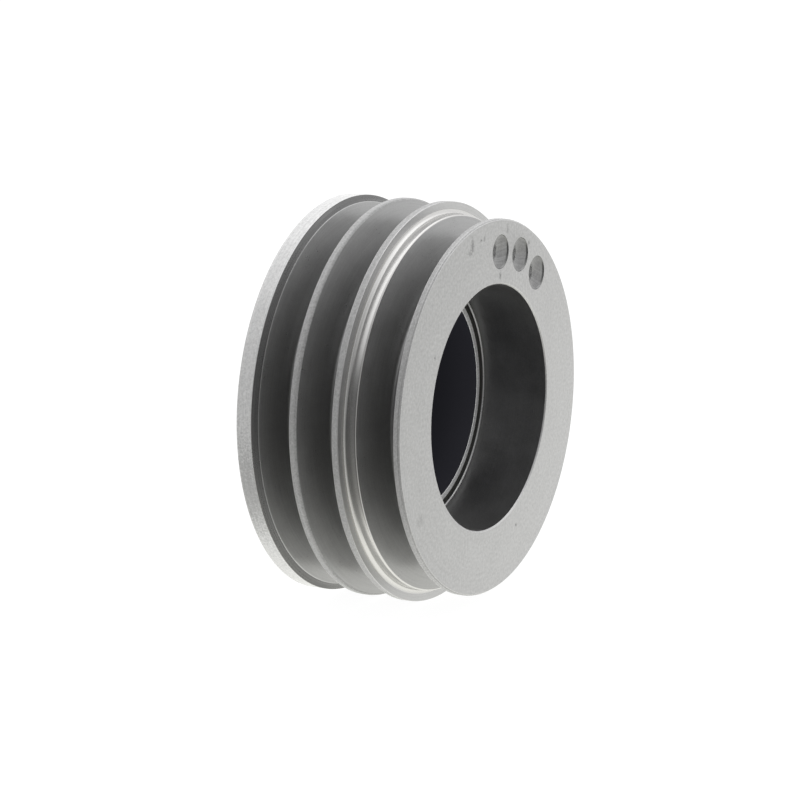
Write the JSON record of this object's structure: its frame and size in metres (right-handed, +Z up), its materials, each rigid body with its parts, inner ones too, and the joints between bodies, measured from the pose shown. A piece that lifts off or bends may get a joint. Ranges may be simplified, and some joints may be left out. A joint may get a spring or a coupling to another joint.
{
  "type": "v belt pulley",
  "caption": "Crankshaft V-belt pulley: a turned, stepped and grooved iron ring carried on a bolt-on disc hub by a thin rubber ring that damps twist.",
  "frame": {"origin": "on the pulley axis, in the plane of the hub's rear mounting face", "axes": "+Y along the axis, out of the rear face towards the shaft; the front face looks towards -Y; +Z up, with the balance drillings near the top"},
  "size_m": [0.13, 0.056, 0.13],
  "materials": {
    "turned_iron": "satin, turned and lightly oiled",
    "rubber": "matt",
    "cut_steel": "turned end",
    "black_coat": "blue-black coating, satin"
  },
  "bodies": {
    "hub_body": {"hub": "black_coat", "inner_sleeve": "cut_steel", "damper_rubber": "rubber"},
    "ring_body": {"pulley_ring": "turned_iron"}
  },
  "joints": [
    {"name": "damper_twist", "type": "hinge", "parent": "hub_body", "child": "ring_body", "pos_m": [0, 0, 0], "axis": [0, 1, 0], "range_deg": [-1.5, 1.5], "stiffness_Nm_per_rad": 1000}
  ]
}
